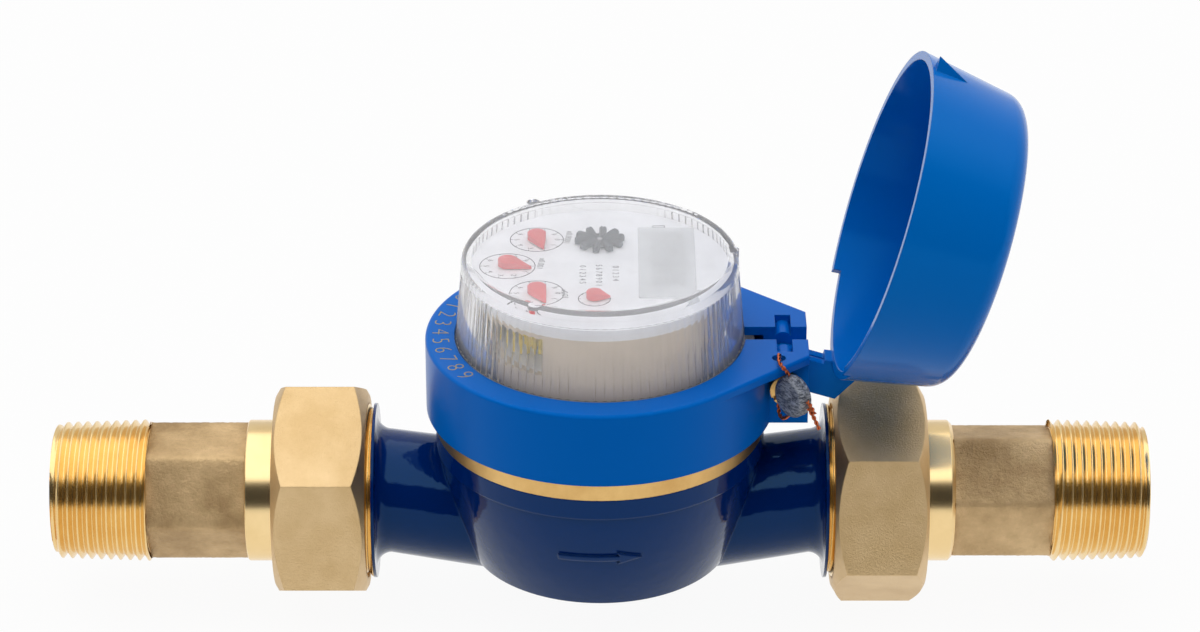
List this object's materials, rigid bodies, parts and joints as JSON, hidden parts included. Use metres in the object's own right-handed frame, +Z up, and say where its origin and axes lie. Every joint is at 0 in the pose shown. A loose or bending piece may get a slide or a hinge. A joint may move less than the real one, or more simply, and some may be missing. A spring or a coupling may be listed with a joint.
{
  "type": "water flow meter",
  "caption": "Water flow meter with a painted brass body, a clear ribbed counter dome, a hinged blue lid, a sealed clamp ring and brass union nuts with threaded tailpieces.",
  "frame": {"origin": "on the pipe axis, midway between the two sealing faces of the body (the mount line_centre)", "axes": "+X along the pipe with the flow, +Z up through the counter, +Y away from the side with the seal"},
  "size_m": [0.2614, 0.0826, 0.1418],
  "materials": {
    "navy_paint": "gloss paint on cast brass",
    "machined_brass": "turned",
    "forged_brass": "forged and blasted, matte",
    "cast_brass": "rough cast, turned collar and thread",
    "blue_plastic": "moulded, gloss",
    "clear_plastic": "clear, ribbed",
    "tan_plastic": "matte",
    "grey_plastic": "matte",
    "white_plastic": "matte",
    "slate_plastic": "satin",
    "red_plastic": "satin",
    "yellow_plastic": "matte",
    "black_rubber": "matte",
    "steel": "bright",
    "magnet": "sintered",
    "copper": "drawn wire",
    "lead": "pressed, scratched"
  },
  "bodies": {
    "meter": {"meter_body": "navy_paint", "head_ring": "machined_brass", "chamber_cover": "grey_plastic", "cover_seal": "black_rubber", "lower_bearing": "steel", "upper_bearing": "steel", "register_base": "grey_plastic", "gear_housing": "tan_plastic", "bearing_plate": "tan_plastic", "dial_plate": "white_plastic", "register_dome": "clear_plastic", "drum_shaft": "steel", "clamp_ring": "blue_plastic", "clamp_screw": "machined_brass", "clamp_nut": "machined_brass", "seal_wire": "copper", "wire_end_upper": "copper", "wire_end_lower": "copper", "lead_seal": "lead", "inlet_strainer": "white_plastic", "gasket_inlet": "black_rubber", "gasket_outlet": "black_rubber"},
    "lid": {"lid": "blue_plastic"},
    "inlet_tail": {"tailpiece_inlet": "cast_brass"},
    "outlet_tail": {"tailpiece_outlet": "cast_brass"},
    "inlet_nut": {"union_nut_inlet": "forged_brass"},
    "outlet_nut": {"union_nut_outlet": "forged_brass"},
    "impeller": {"impeller": "white_plastic", "impeller_spindle": "steel", "drive_magnet": "magnet"},
    "follower": {"follower_magnet": "magnet", "follower_shaft": "steel", "follower_pinion": "white_plastic"},
    "star": {"star_wheel": "slate_plastic", "star_arbor": "steel", "star_gear": "white_plastic"},
    "pointer_1": {"pointer_1": "red_plastic", "pointer_arbor_1": "steel", "pointer_gear_1": "yellow_plastic"},
    "pointer_2": {"pointer_2": "red_plastic", "pointer_arbor_2": "steel", "pointer_gear_2": "yellow_plastic"},
    "pointer_3": {"pointer_3": "red_plastic", "pointer_arbor_3": "steel", "pointer_gear_3": "yellow_plastic"},
    "pointer_4": {"pointer_4": "red_plastic", "pointer_arbor_4": "steel", "pointer_gear_4": "yellow_plastic"},
    "number_drum_1": {"number_drum_1": "white_plastic"},
    "number_drum_2": {"number_drum_2": "white_plastic"},
    "number_drum_3": {"number_drum_3": "white_plastic"},
    "number_drum_4": {"number_drum_4": "white_plastic"},
    "number_drum_5": {"number_drum_5": "white_plastic"}
  },
  "joints": [
    {"name": "lid_hinge", "type": "hinge", "parent": "meter", "child": "lid", "pos_m": [0.0436, 0, 0.0344], "axis": [0, 1, 0], "range_deg": [-107, 0]},
    {"name": "inlet_tail_slide", "type": "slide", "parent": "meter", "child": "inlet_tail", "axis": [-1, 0, 0], "range_m": [0, 0.0094]},
    {"name": "inlet_nut_turn", "type": "hinge", "parent": "inlet_tail", "child": "inlet_nut", "pos_m": [-0.0666, 0, 0], "axis": [-1, 0, 0], "range_deg": [0, 1434.4]},
    {"name": "outlet_tail_slide", "type": "slide", "parent": "meter", "child": "outlet_tail", "axis": [1, 0, 0], "range_m": [0, 0.0094]},
    {"name": "outlet_nut_turn", "type": "hinge", "parent": "outlet_tail", "child": "outlet_nut", "pos_m": [0.0666, 0, 0], "axis": [1, 0, 0], "range_deg": [0, 1434.4]},
    {"name": "flow_spin", "type": "hinge", "parent": "meter", "child": "impeller", "pos_m": [0, 0, 0], "axis": [0, 0, 1], "continuous": true},
    {"name": "follower_spin", "type": "hinge", "parent": "meter", "child": "follower", "pos_m": [0, 0, 0.02], "axis": [0, 0, 1], "continuous": true},
    {"name": "star_spin", "type": "hinge", "parent": "meter", "child": "star", "pos_m": [-0.0001, 0.0126, 0.0591], "axis": [0, 0, 1], "continuous": true},
    {"name": "pointer_1_spin", "type": "hinge", "parent": "meter", "child": "pointer_1", "pos_m": [-0.015, 0.0142, 0.0591], "axis": [0, 0, 1], "continuous": true},
    {"name": "pointer_2_spin", "type": "hinge", "parent": "meter", "child": "pointer_2", "pos_m": [-0.0217, 0.0002, 0.0591], "axis": [0, 0, 1], "continuous": true},
    {"name": "pointer_3_spin", "type": "hinge", "parent": "meter", "child": "pointer_3", "pos_m": [-0.0146, -0.0138, 0.0591], "axis": [0, 0, 1], "continuous": true},
    {"name": "pointer_4_spin", "type": "hinge", "parent": "meter", "child": "pointer_4", "pos_m": [-0.0013, -0.0166, 0.0591], "axis": [0, 0, 1], "continuous": true},
    {"name": "number_drum_1_spin", "type": "hinge", "parent": "meter", "child": "number_drum_1", "pos_m": [0.0162, -0.0069, 0.0526], "axis": [0, 1, 0], "continuous": true},
    {"name": "number_drum_2_spin", "type": "hinge", "parent": "meter", "child": "number_drum_2", "pos_m": [0.0162, -0.0016, 0.0526], "axis": [0, 1, 0], "continuous": true},
    {"name": "number_drum_3_spin", "type": "hinge", "parent": "meter", "child": "number_drum_3", "pos_m": [0.0162, 0.0037, 0.0526], "axis": [0, 1, 0], "continuous": true},
    {"name": "number_drum_4_spin", "type": "hinge", "parent": "meter", "child": "number_drum_4", "pos_m": [0.0162, 0.009, 0.0526], "axis": [0, 1, 0], "continuous": true},
    {"name": "number_drum_5_spin", "type": "hinge", "parent": "meter", "child": "number_drum_5", "pos_m": [0.0162, 0.0143, 0.0526], "axis": [0, 1, 0], "continuous": true}
  ],
  "couplings": [
    {"joint": "inlet_tail_slide", "follows": "inlet_nut_turn", "m_per_rad": 0.00036749},
    {"joint": "outlet_tail_slide", "follows": "outlet_nut_turn", "m_per_rad": 0.00036749},
    {"joint": "follower_spin", "follows": "flow_spin", "ratio": 1},
    {"joint": "star_spin", "follows": "flow_spin", "ratio": -0.25},
    {"joint": "pointer_1_spin", "follows": "flow_spin", "ratio": -0.00005},
    {"joint": "pointer_2_spin", "follows": "flow_spin", "ratio": -0.0005},
    {"joint": "pointer_3_spin", "follows": "flow_spin", "ratio": -0.005},
    {"joint": "pointer_4_spin", "follows": "flow_spin", "ratio": -0.05},
    {"joint": "number_drum_1_spin", "follows": "flow_spin", "ratio": -0.000005},
    {"joint": "number_drum_2_spin", "follows": "flow_spin", "ratio": -0.0000005},
    {"joint": "number_drum_3_spin", "follows": "flow_spin", "ratio": -0.00000005},
    {"joint": "number_drum_4_spin", "follows": "flow_spin", "ratio": -0.000000005},
    {"joint": "number_drum_5_spin", "follows": "flow_spin", "ratio": -0.0000000005}
  ]
}
